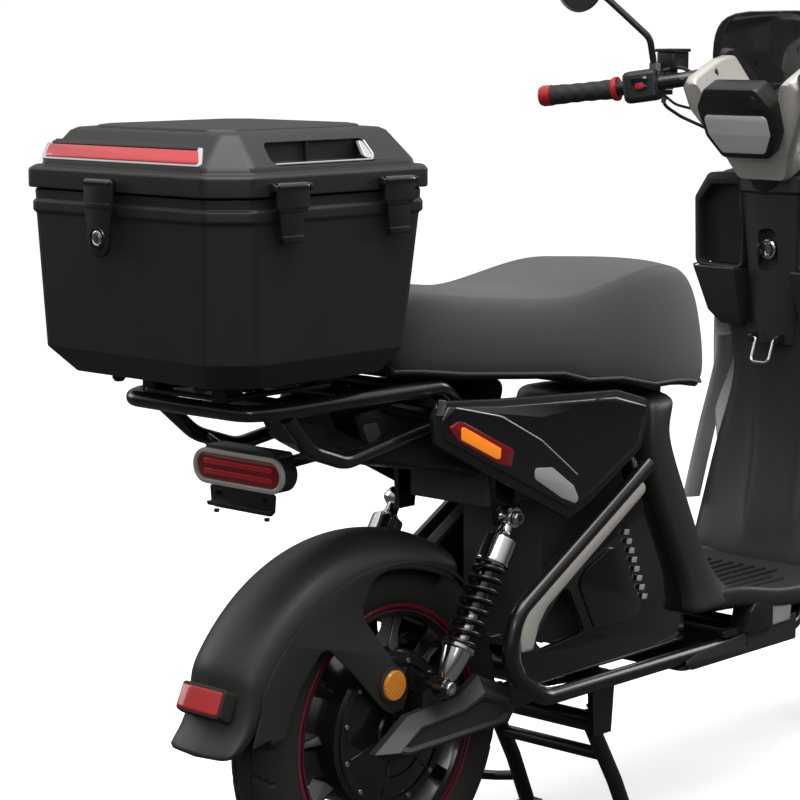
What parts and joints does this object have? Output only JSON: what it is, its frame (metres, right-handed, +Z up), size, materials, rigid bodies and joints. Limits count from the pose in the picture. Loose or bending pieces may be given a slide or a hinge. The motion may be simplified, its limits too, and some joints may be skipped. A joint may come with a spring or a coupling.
{
  "type": "moped scooter",
  "caption": "Electric moped scooter with a hub motor, long padded seat, twin rear shocks, centre stand and a lidded top box on a tube rack.",
  "frame": {"origin": "on the ground under the middle of the scooter's length, on its centre plane", "axes": "+X forward, +Y to the rider's left, +Z up"},
  "size_m": [1.9069, 0.6494, 1.227],
  "materials": {
    "frame_black": "gloss black powder coat",
    "satin_black": "satin moulded plastic",
    "dark_grey": "dark grey grained plastic",
    "gloss_black": "gloss painted plastic",
    "silver_paint": "silver painted plastic",
    "red_lens": "clear red lens",
    "amber_lens": "amber and red lens",
    "clear_lens": "clear lens",
    "smoke": "smoked polycarbonate",
    "screen": "dashboard screen",
    "vinyl": "soft grained vinyl",
    "rubber_grip": "ribbed rubber",
    "tyre_rubber": "tyre rubber",
    "cast_black": "black cast aluminium",
    "chrome": "polished",
    "spring_black": "gloss black spring steel",
    "battery_case": "moulded battery case",
    "red_button": "red button",
    "cable_black": "rubber sheath",
    "steel": "zinc plated steel"
  },
  "bodies": {
    "chassis": {"main_frame": "frame_black", "side_loops": "frame_black", "rack": "frame_black", "undertray": "satin_black", "tail_light_housing": "satin_black", "tail_light_lens": "red_lens", "plate_bracket": "satin_black", "upper_panels": "gloss_black", "signal_lenses": "amber_lens", "lower_covers": "gloss_black", "pillar_cover": "dark_grey", "floorboard": "dark_grey", "belly_pan": "dark_grey", "leg_shield": "dark_grey", "front_apron": "silver_paint", "battery_pack": "battery_case", "box_body": "satin_black"},
    "seat": {"seat_base": "satin_black", "seat_cushion": "vinyl"},
    "lid": {"box_lid": "satin_black"},
    "clip_rear_r": {"clip_rear_r": "satin_black"},
    "clip_front_r": {"clip_front_r": "satin_black"},
    "clip_rear_l": {"clip_rear_l": "satin_black"},
    "clip_front_l": {"clip_front_l": "satin_black"},
    "hasp": {"box_hasp": "satin_black"},
    "lid_lock": {"box_lock": "chrome"},
    "swing": {"swing_arm": "frame_black", "rear_fender": "dark_grey", "fender_reflectors": "red_lens", "swing_covers": "dark_grey"},
    "rear_wheel": {"rear_wheel": "cast_black", "rear_tyre": "tyre_rubber"},
    "shock_upper_r": {"shock_body_r": "chrome", "shock_spring_r": "spring_black"},
    "shock_upper_l": {"shock_body_l": "chrome", "shock_spring_l": "spring_black"},
    "shock_lower_r": {"shock_rod_r": "chrome"},
    "shock_lower_l": {"shock_rod_l": "chrome"},
    "stand": {"centre_stand": "frame_black"},
    "steering": {"fork_stem": "frame_black", "bar_cover": "silver_paint", "handlebar": "frame_black", "dash": "screen", "windshield": "smoke", "headlight": "clear_lens", "left_grip": "rubber_grip", "switch_pods": "satin_black", "cables": "cable_black"},
    "throttle": {"throttle_grip": "rubber_grip"},
    "lever_l": {"brake_lever_l": "frame_black"},
    "lever_r": {"brake_lever_r": "frame_black"},
    "horn": {"horn_button": "red_button"},
    "mirror_l": {"mirror_l": "satin_black"},
    "mirror_r": {"mirror_r": "satin_black"},
    "fork_lower": {"fork_legs": "cast_black", "front_fender": "dark_grey"},
    "front_wheel": {"front_wheel": "cast_black", "front_tyre": "tyre_rubber"},
    "key": {"ignition_key": "steel"},
    "hook": {"bag_hook": "chrome"}
  },
  "joints": [
    {"name": "swing_arm_pivot", "type": "hinge", "parent": "chassis", "child": "swing", "pos_m": [-0.2245, 0, 0.245], "axis": [0, 1, 0], "range_deg": [0, 9], "stiffness_Nm_per_rad": 1800, "springref_deg": -8.59},
    {"name": "rear_wheel_spin", "type": "hinge", "parent": "swing", "child": "rear_wheel", "pos_m": [-0.5245, 0, 0.228], "axis": [0, 1, 0], "continuous": true},
    {"name": "shock_eye_r", "type": "hinge", "parent": "chassis", "child": "shock_upper_r", "pos_m": [-0.3645, -0.1, 0.491], "axis": [0, 1, 0], "range_deg": [0, 4.2]},
    {"name": "shock_stroke_r", "type": "slide", "parent": "shock_upper_r", "child": "shock_lower_r", "axis": [0.5401, 0, 0.8416], "range_m": [0, 0.0405], "deforming": ["shock_spring_r"]},
    {"name": "shock_eye_l", "type": "hinge", "parent": "chassis", "child": "shock_upper_l", "pos_m": [-0.3645, 0.1, 0.491], "axis": [0, 1, 0], "range_deg": [0, 4.2]},
    {"name": "shock_stroke_l", "type": "slide", "parent": "shock_upper_l", "child": "shock_lower_l", "axis": [0.5401, 0, 0.8416], "range_m": [0, 0.0405], "deforming": ["shock_spring_l"]},
    {"name": "stand_pivot", "type": "hinge", "parent": "chassis", "child": "stand", "pos_m": [-0.1835, 0, 0.18], "axis": [0, 1, 0], "range_deg": [0, 95]},
    {"name": "seat_hinge", "type": "hinge", "parent": "chassis", "child": "seat", "pos_m": [0.0405, 0, 0.606], "axis": [0, 1, 0], "range_deg": [0, 60]},
    {"name": "lid_hinge", "type": "hinge", "parent": "chassis", "child": "lid", "pos_m": [-0.5735, 0, 0.924], "axis": [0, 1, 0], "range_deg": [0, 95]},
    {"name": "clip_rear_r_pin", "type": "hinge", "parent": "lid", "child": "clip_rear_r", "pos_m": [-0.8495, -0.1935, 0.943], "axis": [-1, 0, 0], "range_deg": [0, 100]},
    {"name": "clip_rear_l_pin", "type": "hinge", "parent": "lid", "child": "clip_rear_l", "pos_m": [-0.8495, 0.1935, 0.943], "axis": [1, 0, 0], "range_deg": [0, 100]},
    {"name": "clip_front_r_pin", "type": "hinge", "parent": "lid", "child": "clip_front_r", "pos_m": [-0.6765, -0.1935, 0.943], "axis": [-1, 0, 0], "range_deg": [0, 100]},
    {"name": "clip_front_l_pin", "type": "hinge", "parent": "lid", "child": "clip_front_l", "pos_m": [-0.6765, 0.1935, 0.943], "axis": [1, 0, 0], "range_deg": [0, 100]},
    {"name": "hasp_pin", "type": "hinge", "parent": "lid", "child": "hasp", "pos_m": [-0.9475, 0.016, 0.943], "axis": [0, 1, 0], "range_deg": [0, 100]},
    {"name": "lid_lock_turn", "type": "hinge", "parent": "hasp", "child": "lid_lock", "pos_m": [-0.9535, 0.016, 0.881], "axis": [1, 0, 0], "range_deg": [0, 90]},
    {"name": "steering_turn", "type": "hinge", "parent": "chassis", "child": "steering", "pos_m": [0.37021, 0, 0.9], "axis": [-0.4226, 0, 0.9063], "range_deg": [-38, 38]},
    {"name": "fork_travel", "type": "slide", "parent": "steering", "child": "fork_lower", "axis": [-0.4226, 0, 0.9063], "range_m": [0, 0.07], "stiffness_N_per_m": 5000, "springref_m": -0.05},
    {"name": "front_wheel_spin", "type": "hinge", "parent": "fork_lower", "child": "front_wheel", "pos_m": [0.7255, 0, 0.228], "axis": [0, 1, 0], "continuous": true},
    {"name": "throttle_twist", "type": "hinge", "parent": "steering", "child": "throttle", "pos_m": [0.23321, -0.19, 1.024], "axis": [-0.283, -0.9534, -0.1043], "range_deg": [0, 65], "stiffness_Nm_per_rad": 0.4},
    {"name": "brake_lever_l_pin", "type": "hinge", "parent": "steering", "child": "lever_l", "pos_m": [0.29021, 0.15, 1.028], "axis": [0, 0, 1], "range_deg": [0, 12], "stiffness_Nm_per_rad": 2},
    {"name": "brake_lever_r_pin", "type": "hinge", "parent": "steering", "child": "lever_r", "pos_m": [0.29021, -0.15, 1.028], "axis": [0, 0, -1], "range_deg": [0, 12], "stiffness_Nm_per_rad": 2},
    {"name": "horn_press", "type": "slide", "parent": "steering", "child": "horn", "axis": [0.8982, 0.4396, 0], "range_m": [0, 0.0025], "stiffness_N_per_m": 400},
    {"name": "mirror_l_turn", "type": "hinge", "parent": "steering", "child": "mirror_l", "pos_m": [0.25821, 0.15, 1.056], "axis": [0, 0, 1], "range_deg": [-30, 30]},
    {"name": "mirror_r_turn", "type": "hinge", "parent": "steering", "child": "mirror_r", "pos_m": [0.25821, -0.15, 1.056], "axis": [0, 0, -1], "range_deg": [-30, 30]},
    {"name": "key_turn", "type": "hinge", "parent": "chassis", "child": "key", "pos_m": [0.34771, 0, 0.785], "axis": [1, 0, 0], "range_deg": [0, 90]},
    {"name": "hook_fold", "type": "hinge", "parent": "chassis", "child": "hook", "pos_m": [0.34421, 0, 0.65], "axis": [0, 1, 0], "range_deg": [0, 80]}
  ],
  "couplings": [
    {"joint": "shock_eye_r", "follows": "swing_arm_pivot", "ratio": 0.4397},
    {"joint": "shock_stroke_r", "follows": "swing_arm_pivot", "m_per_rad": 0.25506},
    {"joint": "shock_eye_l", "follows": "swing_arm_pivot", "ratio": 0.4397},
    {"joint": "shock_stroke_l", "follows": "swing_arm_pivot", "m_per_rad": 0.25506}
  ]
}
